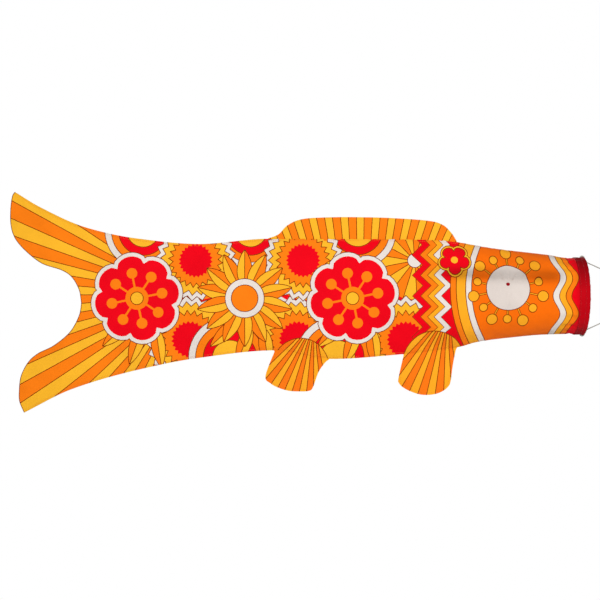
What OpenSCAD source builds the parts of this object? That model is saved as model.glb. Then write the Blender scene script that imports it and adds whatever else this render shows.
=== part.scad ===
// Carp streamer: a printed cloth fish tube held open by a hoop at the mouth,
// flown from a two-leg bridle and a swivel. Millimetres, +Z up.
// The origin is the centre of the bore in the hanging eye. The fish trails along -X,
// with its back fin up, as it does in a steady wind.

/* [Cloth] */
// Length of the cloth from the mouth hoop to the tip of the tail
cloth_len = 1000; // [800:50:1200]
// Thickness of one layer of cloth, hem and stiffening included
cloth_t = 0.8; // [0.6:0.1:1.0]

/* [Mouth] */
// Diameter of the hoop wire
wire_d = 3; // [2:0.5:3.5]
// How far the red casing reaches back over the cloth
casing_reach = 16; // [12:1:18]

/* [Bridle and swivel] */
// Diameter of the bridle cord
cord_d = 2; // [1.6:0.2:2.4]
// Distance from the bridle knot to the knots of the ties
bridle_reach = 144; // [110:1:160]
// Radius of the bore in the hanging eye
eye_bore_r = 5; // [4:0.5:6]
// Outer diameter of the swivel barrel
barrel_d = 6; // [5.5:0.5:8]

/* [Hidden] */

// Outlines are drawn for a cloth 1000 long and grow with it
grow = cloth_len / 1000;

// Colours
RED = [0.80, 0.03, 0.08];
ORANGE = [0.98, 0.50, 0.06];
AMBER = [0.98, 0.70, 0.12];
CORD = [0.90, 0.88, 0.84];
STEEL = [0.72, 0.73, 0.75];
BRASS = [0.78, 0.62, 0.30];

// Swivel, all on the X axis
eye_wall = 2.5;
eye_t = 2.5;
shank_r = 0.8;
shank_play = 0.06;
barrel_len = 11;
barrel_wall = 1.4;
head_r = barrel_d / 2 - 1.2;
head_len = 1.4;
end_play = 0.2;
wire_r = 0.7;
rear_eye_r = 3.4;
barrel_front = -(eye_bore_r + eye_wall + 2);
barrel_back = barrel_front - barrel_len;
rear_eye_x = barrel_back - 1.5 - rear_eye_r;
droop_x = rear_eye_x - rear_eye_r;

// Bridle
cord_r = cord_d / 2;
loop_r = 2.8;
loop_front = wire_r + cord_r + 0.25;
knot_r = 2.8;
knot_x = droop_x + loop_front - 2 * loop_r - knot_r;
tie_ball_r = 2.2;
tie_gap = 0.4;

// Mouth
wire_mouth_r = wire_d / 2;
roll_in = wire_mouth_r + 0.6;
cloth_start = 7;
roll_out = roll_in + cloth_t;
tie_loop_r = roll_out + cord_r + 0.4;
tie_x = knot_x - bridle_reach;
tie_arm = tie_loop_r + 1.45;
// How far the knot of a tie lies round the hoop wire, from straight ahead into the mouth
tie_lean = 60;
hoop_x = tie_x - tie_arm * cos(tie_lean);
hoop_r = 66 * grow;
tie_z = hoop_r - tie_arm * sin(tie_lean);
joiner_turn = 24;
joiner_at = -50;
slot_play = 0.1;
eyelet_play = 0.3;

// Stations are distances behind the hoop. Each row is [station, value].
BACK = [[0, 66], [20, 66], [67, 72], [151, 82], [249, 97], [319, 99], [550, 100],
        [669, 91], [781, 101], [865, 119], [949, 156], [992, 182]];
BELLY = [[0, -66], [20, -66], [67, -67], [123, -72], [179, -79], [221, -90], [319, -102],
         [439, -110], [537, -95], [669, -108], [781, -130], [893, -163], [976, -204]];
BULGE = [[0, 66], [20, 66], [67, 63], [151, 55], [249, 36], [319, 24], [439, 18],
         [550, 13], [669, 9], [781, 7], [873, 6], [1000, 4]];

// Where the cloth folds from side to side, and how far its edges are cut back there
neck = 208;
stalk = 565;
tail = 775;
fork = 875;
fork_z = -12;
neck_cut = 0.19;
stalk_cut = 0.24;
tail_cut = 0.29;
fork_cut = 0.34;
fold_gap = 0.4;

// Edge of the fork from its notch to each tip, as [station, height]
UPPER_FORK = [[875, -12], [879, 11], [892, 33], [910, 45], [943, 56], [969, 75],
              [990, 98], [999, 122], [1000, 150], [997, 174], [992, 182]];
LOWER_FORK = [[875, -12], [879, -35], [895, -63], [923, -86], [951, -100], [968, -115],
              [980, -137], [984, -160], [984, -183], [976, -204]];

// Free edges of the fins, as [station, height], from the rear end of the base to the front
BACK_FIN = [[549, 101], [531, 108], [515, 124], [487, 135], [427, 138], [347, 137],
            [272, 132], [245, 125], [230, 112], [221, 99]];
REAR_FIN = [[538, -97], [554, -140], [545, -153], [530, -161], [512, -166], [493, -167],
            [478, -166], [471, -160], [461, -133], [450, -117], [444, -112]];
FRONT_FIN = [[312, -103], [321, -143], [320, -153], [310, -162], [292, -170], [277, -173],
             [259, -172], [245, -167], [234, -158], [230, -148], [226, -120], [221, -95]];
fin_gap = 2;
ply_gap = 0.1;

// Bridle leg route as [share of the way from tie to knot, share of the tie's height].
// The legs are taut, with a barely visible sag.
LEG_ROUTE = [[0, 1], [0.2, 0.79], [0.4, 0.585], [0.6, 0.385], [0.8, 0.19], [1, 0.01]];
leg_rings = 46;
leg_sides = 8;

// ---------- curves ----------

function mix(a, b, t) = a + (b - a) * t;

// Smooth curve through the points of a list, at span i and share t of that span
function spline(p, i, t) =
    let (a = p[max(i - 1, 0)], b = p[i], c = p[i + 1], d = p[min(i + 2, len(p) - 1)])
    0.5 * ((2 * b) + (c - a) * t + (2 * a - 5 * b + 4 * c - d) * t * t
           + (3 * b - a - 3 * c + d) * t * t * t);

// Point at share u of the whole curve
function along(p, u) =
    let (n = len(p) - 1, i = min(floor(u * n), n - 1)) spline(p, i, u * n - i);

// The whole curve, with steps points to a span
function curve(p, steps) =
    concat([for (i = [0:len(p) - 2], k = [0:steps - 1]) spline(p, i, k / steps)], [p[len(p) - 1]]);

// Value of a table at a station, on a smooth curve that never overshoots a flat stretch
function slope(t, i) =
    i == 0 || i == len(t) - 1 ? 0
    : let (a = (t[i][1] - t[i - 1][1]) / (t[i][0] - t[i - 1][0]),
           b = (t[i + 1][1] - t[i][1]) / (t[i + 1][0] - t[i][0]))
      a * b <= 0 ? 0 : 2 * a * b / (a + b);
function span_of(t, s, i = 0) = i >= len(t) - 2 || s < t[i + 1][0] ? i : span_of(t, s, i + 1);
function value(t, s) =
    let (i = span_of(t, s), h = t[i + 1][0] - t[i][0], u = (s - t[i][0]) / h,
         m0 = (i == 0 ? (t[1][1] - t[0][1]) / (t[1][0] - t[0][0]) : slope(t, i)) * h,
         m1 = (i == len(t) - 2 ? t[i + 1][1] - t[i][1] : slope(t, i + 1) * h))
    (2 * u * u * u - 3 * u * u + 1) * t[i][1] + (u * u * u - 2 * u * u + u) * m0
    + (3 * u * u - 2 * u * u * u) * t[i + 1][1] + (u * u * u - u * u) * m1;

// ---------- cloth surface ----------

// One side of the tube at station s is an arc from the belly seam to the back seam.
// share runs from 0 at the belly to 1 at the back, and out is the distance off the inner face.
function side_point(s, share, out) =
    let (top = value(BACK, s), low = value(BELLY, s), w = value(BULGE, s),
         half = (top - low) / 2, r = (half * half + w * w) / (2 * w),
         full = 2 * atan(w / half), a = full * (2 * share - 1))
    [-s, (r + out / grow) * cos(a) - (r - w), (top + low) / 2 + (r + out / grow) * sin(a)];

// Sideways distance of the inner face from the middle plane, for the flat tail
function side_y(s, z) =
    let (top = value(BACK, s), low = value(BELLY, s), u = (2 * z - top - low) / (top - low))
    value(BULGE, s) * max(0, 1 - u * u);

function place(p) = [hoop_x + p[0] * grow, p[1] * grow, p[2] * grow];

// Closed skin between an outer and an inner grid of points
module skin(outer, inner) {
    rows = len(outer);
    cols = len(outer[0]);
    function at(side, i, j) = (side * rows + i) * cols + j;
    function quad(a, b, c, d) = [[a, b, c], [a, c, d]];
    faces = concat(
        [for (i = [0:rows - 2], j = [0:cols - 2])
            each quad(at(0, i, j), at(0, i, j + 1), at(0, i + 1, j + 1), at(0, i + 1, j))],
        [for (i = [0:rows - 2], j = [0:cols - 2])
            each quad(at(1, i, j), at(1, i + 1, j), at(1, i + 1, j + 1), at(1, i, j + 1))],
        [for (i = [0:rows - 2]) each quad(at(0, i, 0), at(0, i + 1, 0), at(1, i + 1, 0), at(1, i, 0))],
        [for (i = [0:rows - 2])
            each quad(at(0, i, cols - 1), at(1, i, cols - 1), at(1, i + 1, cols - 1), at(0, i + 1, cols - 1))],
        [for (j = [0:cols - 2]) each quad(at(0, 0, j), at(1, 0, j), at(1, 0, j + 1), at(0, 0, j + 1))],
        [for (j = [0:cols - 2])
            each quad(at(0, rows - 1, j), at(0, rows - 1, j + 1), at(1, rows - 1, j + 1), at(1, rows - 1, j))]
    );
    polyhedron(
        points = [for (p = concat([for (r = outer) each r], [for (r = inner) each r])) place(p)],
        faces = faces
    );
}

// Left side of the tube between two stations. Each end is cut back by the given share
// of the distance from the middle plane, which leaves room to fold sideways.
module tube_side(from, to, cut_from, cut_to, rows, cols) {
    function cut_back(p, from_share) =
        [-mix(from + (cut_from > 0 ? fold_gap : 0) + cut_from * p[1],
              to - (cut_to > 0 ? fold_gap : 0) - cut_to * p[1], from_share), p[1], p[2]];
    function grid(out) =
        [for (i = [0:rows]) [for (j = [0:cols])
            let (p = side_point(mix(from, to, i / rows), j / cols, out)) cut_back(p, i / rows)]];
    skin(grid(cloth_t), grid(0));
}

// Left side of a tail lobe, between the fork's edge and the outer seam
module lobe_side(fork_edge, outer_edge, rows, cols) {
    tip = fork_edge[len(fork_edge) - 1];
    function point(i, j, out) =
        let (u = i / rows, a = along(fork_edge, u), s = mix(fork, tip[0], u),
             b = [s, value(outer_edge, s)], p = mix(a, b, j / cols), y = side_y(p[0], p[1]) + out / grow,
             back = (fold_gap + fork_cut * y) * (1 - u))
        [-(p[0] + back), y, p[1] + (1 - j / cols) * (1 - u) * fold_gap * sign(b[1] - fork_z)];
    skin([for (i = [0:rows]) [for (j = [0:cols]) point(i, j, cloth_t)]],
         [for (i = [0:rows]) [for (j = [0:cols]) point(i, j, 0)]]);
}

// Left ply of a fin: its free edge and, along its base, the seam that it is sewn into
module fin_side(edge, seam, gap) {
    first = edge[0][0];
    last = edge[len(edge) - 1][0];
    base_steps = 12;
    base = [for (k = [0:base_steps])
        let (s = mix(last, first, k / base_steps)) [s, value(seam, s) + gap]];
    outline = concat([for (p = curve(edge, 4)) if (sign(gap) * (p[1] - value(seam, p[0])) > abs(gap)) p], base);
    translate([hoop_x, ply_gap + cloth_t, 0])
        rotate([90, 0, 0])
            linear_extrude(cloth_t)
                polygon([for (p = outline) [-p[0] * grow, p[1] * grow]]);
}

// ---------- mouth ----------

// Turned part on the hoop's axis; the profile is drawn at [radius, distance ahead of the hoop]
module around_mouth(turn = 360, start = 0) {
    translate([hoop_x, 0, 0])
        rotate([0, 90, 0])
            rotate([0, 0, start])
                rotate_extrude(angle = turn, $fn = 96)
                    children();
}

module mouth_hoop() {
    split = 0.4;
    color(STEEL)
        around_mouth(360 - split, joiner_at + split / 2)
            translate([hoop_r, 0]) circle(r = wire_mouth_r, $fn = 32);
}

module hoop_joiner() {
    color(STEEL)
        around_mouth(joiner_turn, joiner_at - joiner_turn / 2)
            translate([hoop_r, 0])
                difference() {
                    circle(r = wire_mouth_r + 0.5, $fn = 32);
                    circle(r = wire_mouth_r + 0.05, $fn = 32);
                }
}

// A strip of red cloth folded round the hoop, with the fish's cloth sewn between its two edges
module mouth_casing() {
    color(RED)
        difference() {
            around_mouth()
                difference() {
                    union() {
                        translate([hoop_r, 0]) circle(r = roll_out, $fn = 32);
                        translate([hoop_r - slot_play - cloth_t, -casing_reach])
                            square([3 * cloth_t + 2 * slot_play, casing_reach]);
                    }
                    translate([hoop_r, 0]) circle(r = roll_in, $fn = 32);
                    translate([hoop_r - slot_play, -casing_reach - 1])
                        square([cloth_t + 2 * slot_play, casing_reach + 2 - cloth_start]);
                }
            // Eyelets that the two ties are threaded through, behind the hoop
            translate([hoop_x - tie_loop_r, 0, 0])
                cylinder(r = cord_r + eyelet_play, h = 3 * hoop_r, center = true, $fn = 32);
        }
}

// Cord knotted through the casing, round the hoop. up is 1 at the back seam and -1 at the belly.
// Its knot lies inside the mouth, where the bridle pulls it
module tie(up) {
    color(CORD) {
        translate([hoop_x, 0, up * hoop_r])
            rotate([90, 0, 0])
                rotate_extrude($fn = 48)
                    translate([tie_loop_r, 0]) circle(r = cord_r, $fn = 24);
        translate([tie_x, 0, up * tie_z]) sphere(r = tie_ball_r, $fn = 32);
    }
}

// ---------- bridle ----------

leg_lean = atan(tie_z / bridle_reach);
leg_x0 = tie_x + (tie_ball_r + tie_gap) * cos(leg_lean);
leg_x1 = knot_x - knot_r * 0.8;
leg_z0 = tie_z - (tie_ball_r + tie_gap) * sin(leg_lean);

function leg_point(u, up) =
    let (p = along(LEG_ROUTE, u)) [mix(leg_x0, leg_x1, p[0]), 0, up * leg_z0 * p[1]];

// Cord swept along its route, which stays in the middle plane
module leg(up) {
    route = [for (i = [0:leg_rings]) leg_point(i / leg_rings, up)];
    function ahead(i) = route[min(i + 1, leg_rings)] - route[max(i - 1, 0)];
    function across(i) = let (d = ahead(i)) [-d[2], 0, d[0]] / norm(d);
    points = [for (i = [0:leg_rings], j = [0:leg_sides - 1])
        let (a = 360 * j / leg_sides) route[i] + cord_r * (cos(a) * across(i) + [0, sin(a), 0])];
    ring = [for (j = [0:leg_sides - 1]) j];
    sides = [for (i = [0:leg_rings - 1], j = [0:leg_sides - 1])
        let (k = (j + 1) % leg_sides, a = i * leg_sides, b = a + leg_sides)
        each [[a + j, a + k, b + k], [a + j, b + k, b + j]]];
    color(CORD)
        polyhedron(
            points = points,
            faces = concat([[for (j = ring) leg_sides - 1 - j]], sides,
                           [[for (j = ring) leg_rings * leg_sides + j]])
        );
}

// Loop through the swivel's rear eye, and the overhand knot that closes it
module bridle_knot() {
    color(CORD) {
        translate([droop_x + loop_front - loop_r, 0, 0])
            rotate([90, 0, 0])
                rotate_extrude($fn = 48)
                    translate([loop_r, 0]) circle(r = cord_r, $fn = 24);
        translate([knot_x, 0, 0]) sphere(r = knot_r, $fn = 32);
    }
}

// ---------- swivel ----------

// Pin along X between two places, front one first
module pin_x(x0, x1, r) {
    translate([x1, 0, 0]) rotate([0, 90, 0]) cylinder(r = r, h = x0 - x1, $fn = 32);
}

module hang_eye() {
    color(STEEL) {
        rotate([90, 0, 0])
            difference() {
                cylinder(r = eye_bore_r + eye_wall, h = eye_t, center = true, $fn = 64);
                cylinder(r = eye_bore_r, h = eye_t + 1, center = true, $fn = 64);
            }
        pin_x(-(eye_bore_r + eye_wall / 2), barrel_front - barrel_wall - end_play - head_len / 2, shank_r);
        pin_x(barrel_front - barrel_wall - end_play,
              barrel_front - barrel_wall - end_play - head_len, head_r);
    }
}

module swivel_barrel() {
    neck_r = barrel_d / 2 - 1;
    color(BRASS)
        rotate([0, -90, 0])
            translate([0, 0, -barrel_front])
                rotate_extrude($fn = 48)
                    difference() {
                        polygon([[0, 0], [neck_r, 0], [barrel_d / 2, 2], [barrel_d / 2, barrel_len - 2],
                                 [neck_r, barrel_len], [0, barrel_len]]);
                        translate([-1, -1]) square([1 + shank_r + shank_play, barrel_len + 2]);
                        translate([-1, barrel_wall])
                            square([1 + head_r + 0.3, barrel_len - 2 * barrel_wall]);
                    }
}

module swivel_rear_eye() {
    color(STEEL) {
        translate([rear_eye_x, 0, 0])
            rotate_extrude($fn = 48)
                translate([rear_eye_r, 0]) circle(r = wire_r, $fn = 24);
        pin_x(barrel_back + barrel_wall + end_play + head_len / 2, rear_eye_x + rear_eye_r, shank_r);
        pin_x(barrel_back + barrel_wall + end_play + head_len,
              barrel_back + barrel_wall + end_play, head_r);
    }
}

// ---------- cloth pieces ----------

module head_side() { tube_side(cloth_start / grow, neck, 0, neck_cut, 12, 36); }
module trunk_side() { tube_side(neck, stalk, neck_cut, stalk_cut, 20, 24); }
module stalk_side() { tube_side(stalk, tail, stalk_cut, tail_cut, 10, 14); }
module tail_side() { tube_side(tail, fork, tail_cut, fork_cut, 6, 14); }
module upper_lobe_side() { lobe_side(UPPER_FORK, BACK, 14, 5); }
module lower_lobe_side() { lobe_side(LOWER_FORK, BELLY, 14, 5); }
module back_fin_side() { fin_side(BACK_FIN, BACK, fin_gap); }
module front_fin_side() { fin_side(FRONT_FIN, BELLY, -fin_gap); }
module rear_fin_side() { fin_side(REAR_FIN, BELLY, -fin_gap); }

// A right piece is the left one mirrored in the middle plane
module right() { mirror([0, 1, 0]) children(); }

hang_eye();
swivel_barrel();
swivel_rear_eye();
bridle_knot();
leg(1);  // bridle_upper_leg
leg(-1);  // bridle_lower_leg
tie(1);  // upper_tie
tie(-1);  // lower_tie
mouth_hoop();
hoop_joiner();
mouth_casing();
color(ORANGE) head_side();  // head_panel_left
color(ORANGE) right() head_side();  // head_panel_right
color(ORANGE) trunk_side();  // trunk_panel_left
color(ORANGE) right() trunk_side();  // trunk_panel_right
color(ORANGE) stalk_side();  // stalk_panel_left
color(ORANGE) right() stalk_side();  // stalk_panel_right
color(ORANGE) tail_side();  // tail_panel_left
color(ORANGE) right() tail_side();  // tail_panel_right
color(AMBER) upper_lobe_side();  // upper_lobe_left
color(AMBER) right() upper_lobe_side();  // upper_lobe_right
color(AMBER) lower_lobe_side();  // lower_lobe_left
color(AMBER) right() lower_lobe_side();  // lower_lobe_right
color(AMBER) back_fin_side();  // back_fin_left
color(AMBER) right() back_fin_side();  // back_fin_right
color(AMBER) front_fin_side();  // front_fin_left
color(AMBER) right() front_fin_side();  // front_fin_right
color(AMBER) rear_fin_side();  // rear_fin_left
color(AMBER) right() rear_fin_side();  // rear_fin_right
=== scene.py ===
"""The carp streamer's looks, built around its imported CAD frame.

The fish is a tube of printed cloth. Its outline and its bulge are tables along the fish, in mm
behind the mouth hoop and mm above the hoop's axis. The print is painted as polygons in the same
two measures, cut into one flat triangulation, and the triangles are then laid on the tube.
"""

import math

import bpy
import numpy as np
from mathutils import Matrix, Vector
from mathutils.geometry import delaunay_2d_cdt


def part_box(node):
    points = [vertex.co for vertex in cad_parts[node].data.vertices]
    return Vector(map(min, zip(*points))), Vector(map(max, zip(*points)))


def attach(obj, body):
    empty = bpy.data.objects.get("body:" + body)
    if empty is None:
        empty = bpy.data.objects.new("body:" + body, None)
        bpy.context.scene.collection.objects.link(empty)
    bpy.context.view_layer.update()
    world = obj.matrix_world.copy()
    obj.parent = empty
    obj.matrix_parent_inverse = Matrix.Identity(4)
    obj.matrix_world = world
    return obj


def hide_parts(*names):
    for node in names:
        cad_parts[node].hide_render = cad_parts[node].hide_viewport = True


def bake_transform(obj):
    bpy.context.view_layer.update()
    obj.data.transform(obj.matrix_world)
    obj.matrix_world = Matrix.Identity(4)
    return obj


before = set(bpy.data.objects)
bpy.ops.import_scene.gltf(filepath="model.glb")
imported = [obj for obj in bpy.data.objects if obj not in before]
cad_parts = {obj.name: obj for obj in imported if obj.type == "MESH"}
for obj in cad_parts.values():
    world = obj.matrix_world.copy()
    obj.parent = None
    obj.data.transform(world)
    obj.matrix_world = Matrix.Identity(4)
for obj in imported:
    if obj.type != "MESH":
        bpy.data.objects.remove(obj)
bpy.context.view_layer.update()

MM = 0.001
RIGHT = -1
SIDES = {"left": 1, "right": RIGHT}

hoop_low, hoop_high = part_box("mouth_hoop")
HOOP_X = (hoop_low[0] + hoop_high[0]) / 2
HOOP_R = 66.0


def place(points):
    """Metres in the frame, from rows of [mm behind the hoop, mm sideways, mm up]."""
    points = np.atleast_2d(np.asarray(points, dtype=float))
    return np.column_stack((HOOP_X - points[:, 0] * MM, points[:, 1] * MM, points[:, 2] * MM))


# ---------- camera ----------

VIEW_DISTANCE = 2.6
VIEW_WIDTH = 1.05
VIEW_X = HOOP_X - 0.4935
VIEW_HEIGHT = -0.007

camera_data = bpy.data.cameras.new("camera")
camera_data.sensor_width = 36
camera_data.lens = camera_data.sensor_width * VIEW_DISTANCE / VIEW_WIDTH
camera = bpy.data.objects.new("camera", camera_data)
camera.location = (VIEW_X, -VIEW_DISTANCE, VIEW_HEIGHT)
camera.rotation_euler = (math.pi / 2, 0, 0)
bpy.context.scene.collection.objects.link(camera)
bpy.context.scene.camera = camera


# ---------- materials ----------

def srgb(r, g, b):
    """Linear colour from the 0 to 255 values of a colour swatch."""
    return tuple(c / 12.92 if c <= 0.04045 else ((c + 0.055) / 1.055) ** 2.4
                 for c in (r / 255, g / 255, b / 255))


ORANGE = srgb(255, 128, 16)
HEAD_ORANGE = srgb(253, 112, 6)
AMBER = srgb(253, 184, 42)
HEAD_AMBER = srgb(254, 171, 34)
FIN_ORANGE = srgb(252, 121, 18)
RED = srgb(240, 0, 23)
WHITE = srgb(232, 222, 214)
LINE = srgb(126, 44, 0)
EYE_WHITE = srgb(222, 210, 202)
PUPIL = srgb(150, 10, 24)
REVERSE = srgb(244, 214, 178)
CASING_RED = srgb(192, 0, 17)


class Nodes:
    """A material's node tree, with short calls for the nodes that the finishes share."""

    def __init__(self, name):
        self.material = bpy.data.materials.new(name)
        self.material.use_nodes = True
        self.tree = self.material.node_tree

    def fill(self, node, inputs):
        """Links what another node gives, and sets any other value on the socket itself."""
        for key, value in inputs.items():
            if isinstance(value, bpy.types.NodeSocket):
                self.tree.links.new(value, node.inputs[key])
            else:
                node.inputs[key].default_value = value
        return node

    def add(self, kind, inputs=None, **settings):
        node = self.tree.nodes.new(kind)
        for key, value in settings.items():
            setattr(node, key, value)
        return self.fill(node, inputs or {})

    def shaded(self, **values):
        """The material, with the values on its shader's sockets."""
        self.fill(self.tree.nodes["Principled BSDF"],
                  {key.replace("_", " "): value for key, value in values.items()})
        return self.material

    def object_coords(self):
        return self.add("ShaderNodeTexCoord").outputs["Object"]

    def noise(self, vector, scale, detail):
        return self.add("ShaderNodeTexNoise", {"Vector": vector, "Scale": scale, "Detail": detail,
                                               "Roughness": 0.6}).outputs["Fac"]

    def product(self, first, second):
        return self.add("ShaderNodeMath", {0: first, 1: second},
                        operation="MULTIPLY").outputs["Value"]

    def spread(self, value, low, high):
        """The 0 to 1 value, mapped to low to high."""
        return self.add("ShaderNodeMapRange", {"Value": value, "To Min": low,
                                               "To Max": high}).outputs["Result"]

    def scaled(self, color, factor):
        """The colour times a factor that varies over the surface."""
        return self.add("ShaderNodeVectorMath", {0: color, "Scale": factor},
                        operation="SCALE").outputs["Vector"]

    def mixed(self, factor, first, second):
        """A colour between two fixed ones."""
        return self.add("ShaderNodeMix", {"Factor": factor, "A": (*first, 1), "B": (*second, 1)},
                        data_type="RGBA").outputs["Result"]

    def bump(self, height, distance, strength, **after):
        """A surface normal from a height. It starts from a Normal, where after gives one."""
        return self.add("ShaderNodeBump", {"Height": height, "Distance": distance,
                                           "Strength": strength, **after}).outputs["Normal"]

    def threads(self, vector, direction, count_per_m):
        """Height of a row of parallel threads, as a soft wave across them.

        At scale 1 the texture makes 20 / 2 pi waves a metre.
        """
        return self.add("ShaderNodeTexWave",
                        {"Vector": vector, "Scale": count_per_m / 20 * 2 * math.pi,
                         "Distortion": 0.6, "Detail": 1.0, "Detail Scale": 0.15},
                        wave_type="BANDS", bands_direction=direction,
                        wave_profile="SIN").outputs["Fac"]


SLUBS_PER_M = 560
DYE_PATCHES_PER_M = 14
WEAVE_HEIGHT = 0.0001
SLUB_HEIGHT = 2.5 * WEAVE_HEIGHT


def woven_cloth(name, thread_pitch, dye):
    """Plain-woven cloth, coloured by the print attribute. dye is how far its tone varies."""
    n = Nodes(name)
    cloth = n.add("ShaderNodeUVMap", uv_map="cloth").outputs["UV"]
    weave = n.product(*(n.threads(cloth, way, 1 / thread_pitch) for way in "XY"))
    slubs = n.noise(cloth, SLUBS_PER_M, detail=3)
    patches = n.noise(cloth, DYE_PATCHES_PER_M, detail=4)
    base = n.add("ShaderNodeAttribute", attribute_name="print").outputs["Color"]
    # the dye patches and the slubs vary the tone at random; the weave darkens the gaps between
    # threads, which is painted shade
    for value, low, high in ((patches, 1 - dye, 1 + dye), (slubs, 0.92, 1.08), (weave, 0.93, 1.03)):
        base = n.scaled(base, n.spread(value, low, high))
    fine = n.bump(weave, WEAVE_HEIGHT, 0.6)
    return n.shaded(Base_Color=base, Roughness=n.spread(slubs, 0.68, 0.86),
                    Normal=n.bump(slubs, SLUB_HEIGHT, 0.4, Normal=fine),
                    Sheen_Weight=0.03, Sheen_Roughness=0.4, Specular_IOR_Level=0.06)


FIBRES_PER_M = 2600
FIBRE_HEIGHT = 0.0002
TINTS_PER_M = 90


def twisted_thread(name, color, roughness=0.5):
    """Sewing thread or cord: fibres that show as fine lines and a slight colour change."""
    n = Nodes(name)
    coords = n.object_coords()
    fibres = n.noise(coords, FIBRES_PER_M, detail=2)
    tint = n.noise(coords, TINTS_PER_M, detail=3)
    shade = [c * 0.72 for c in color]
    return n.shaded(Base_Color=n.mixed(n.spread(tint, 0, 0.5), color, shade),
                    Roughness=n.spread(fibres, roughness, roughness + 0.25),
                    Normal=n.bump(fibres, FIBRE_HEIGHT, 0.5),
                    Sheen_Weight=0.2, Specular_IOR_Level=0.3)


SCRATCHES_PER_M = (60, 900, 900)
SCRATCH_DEPTH = 0.00004
TARNISH_PER_M = 260


def metal(name, color, roughness, tarnish, brushed=0.0):
    """Metal with fine scratches and patches of dull tarnish."""
    n = Nodes(name)
    coords = n.object_coords()
    stretched = n.add("ShaderNodeMapping", {"Vector": coords, "Scale": SCRATCHES_PER_M})
    scratches = n.noise(stretched.outputs["Vector"], 1.0, detail=4)
    dull = n.noise(coords, TARNISH_PER_M, detail=5)
    tarnished = [c * 0.45 for c in color]
    return n.shaded(Base_Color=n.mixed(n.spread(dull, 0, tarnish), color, tarnished),
                    Roughness=n.spread(dull, roughness, roughness + 0.22),
                    Normal=n.bump(scratches, SCRATCH_DEPTH, 0.3 + brushed), Metallic=1.0)


print_cloth = woven_cloth("printed_cloth", thread_pitch=0.00055, dye=0.13)
casing_cloth = woven_cloth("casing_cloth", thread_pitch=0.0006, dye=0.16)
seam_thread = twisted_thread("seam_thread", srgb(240, 120, 30))
casing_thread = twisted_thread("casing_thread", srgb(150, 0, 14))
bridle_cord = twisted_thread("bridle_cord", srgb(180, 175, 166), 0.6)
steel = metal("polished_steel", (0.66, 0.67, 0.69), 0.14, 0.35)
wire = metal("hoop_wire", (0.56, 0.57, 0.59), 0.26, 0.5, brushed=0.3)
brass = metal("swivel_brass", (0.74, 0.52, 0.22), 0.22, 0.6)


# ---------- meshes ----------

def make_object(name, points, faces, materials, second_from=None):
    """A smooth mesh. Its faces from the row second_from on take the second material."""
    mesh = bpy.data.meshes.new(name)
    mesh.from_pydata([tuple(p) for p in points], [], faces)
    mesh.update()
    mesh.shade_smooth()
    for material in materials:
        mesh.materials.append(material)
    if second_from is not None:
        slots = np.zeros(len(mesh.polygons), dtype=np.int32)
        slots[second_from:] = 1
        mesh.polygons.foreach_set("material_index", slots)
    obj = bpy.data.objects.new(name, mesh)
    bpy.context.scene.collection.objects.link(obj)
    return obj


def corner_points(obj):
    """The mesh point that each corner is at, in the order of its loops."""
    rows = np.empty(len(obj.data.loops), dtype=np.int32)
    obj.data.loops.foreach_get("vertex_index", rows)
    return rows


def set_colors(obj, colors):
    """The print: one colour for each corner of the mesh, in the order of its loops."""
    attribute = obj.data.color_attributes.new(name="print", type="FLOAT_COLOR", domain="CORNER")
    rgba = np.ones((len(colors), 4), dtype=np.float32)
    rgba[:, :3] = colors
    attribute.data.foreach_set("color", rgba.ravel())


def set_cloth_uv(obj, uv):
    """Cloth coordinates in metres for each corner, which the weave follows."""
    layer = obj.data.uv_layers.new(name="cloth")
    layer.data.foreach_set("uv", np.asarray(uv, dtype=np.float32).ravel())


def frames_along(path):
    """Two unit vectors across a path at each of its points, which turn as little as they can."""
    path = np.asarray(path, dtype=float)
    tangents = np.gradient(path, axis=0)
    tangents /= np.linalg.norm(tangents, axis=1)[:, None]
    side = np.cross(tangents[0], (0.0, 1.0, 0.0))
    if np.linalg.norm(side) < 0.2:
        side = np.cross(tangents[0], (0.0, 0.0, 1.0))
    sides = []
    for tangent in tangents:
        side = side - tangent * side.dot(tangent)
        side /= np.linalg.norm(side)
        sides.append(side)
    sides = np.array(sides)
    return sides, np.cross(tangents, sides)


def run_along(path):
    """Distance along a path to each of its points."""
    steps = np.linalg.norm(np.diff(path, axis=0), axis=1)
    return np.concatenate(([0], np.cumsum(steps)))


def tube_faces(rings, sides, closed=False):
    """Faces of a tube of point rings: a loop of rings if closed, or else one with two end caps."""
    faces = []
    for i in range(rings if closed else rings - 1):
        a, b = i * sides, (i + 1) % rings * sides
        for j in range(sides):
            k = (j + 1) % sides
            faces.append((a + j, a + k, b + k, b + j))
    if not closed:
        faces.append(tuple(reversed(range(sides))))
        faces.append(tuple((rings - 1) * sides + j for j in range(sides)))
    return faces


def laid_cord(path, radius, closed=False):
    """Points and faces of a cord of twisted strands, along a path in metres."""
    path = np.asarray(path, dtype=float)
    across, up = frames_along(path)
    angles = np.linspace(0, 2 * math.pi, CORD_SIDES, endpoint=False)
    swell = radius * (0.94 + 0.12 * np.abs(np.cos(CORD_STRANDS * angles / 2)) ** 0.5)
    points = []
    for centre, a, b, length in zip(path, across, up, run_along(path)):
        turn = 2 * math.pi * length / CORD_TWIST
        points.extend(centre + swell[:, None] * (np.cos(angles + turn)[:, None] * a
                                                 + np.sin(angles + turn)[:, None] * b))
    return np.array(points), tube_faces(len(path), CORD_SIDES, closed)


def spline_through(points, steps):
    """Smooth curve through the points, with the given number of steps to a span."""
    p = np.asarray(points, dtype=float)
    result = []
    for i in range(len(p) - 1):
        a, b, c, d = p[max(i - 1, 0)], p[i], p[i + 1], p[min(i + 2, len(p) - 1)]
        for t in np.arange(steps) / steps:
            result.append(0.5 * (2 * b + (c - a) * t + (2 * a - 5 * b + 4 * c - d) * t ** 2
                                 + (3 * b - a - 3 * c + d) * t ** 3))
    result.append(p[-1])
    return np.array(result)


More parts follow.
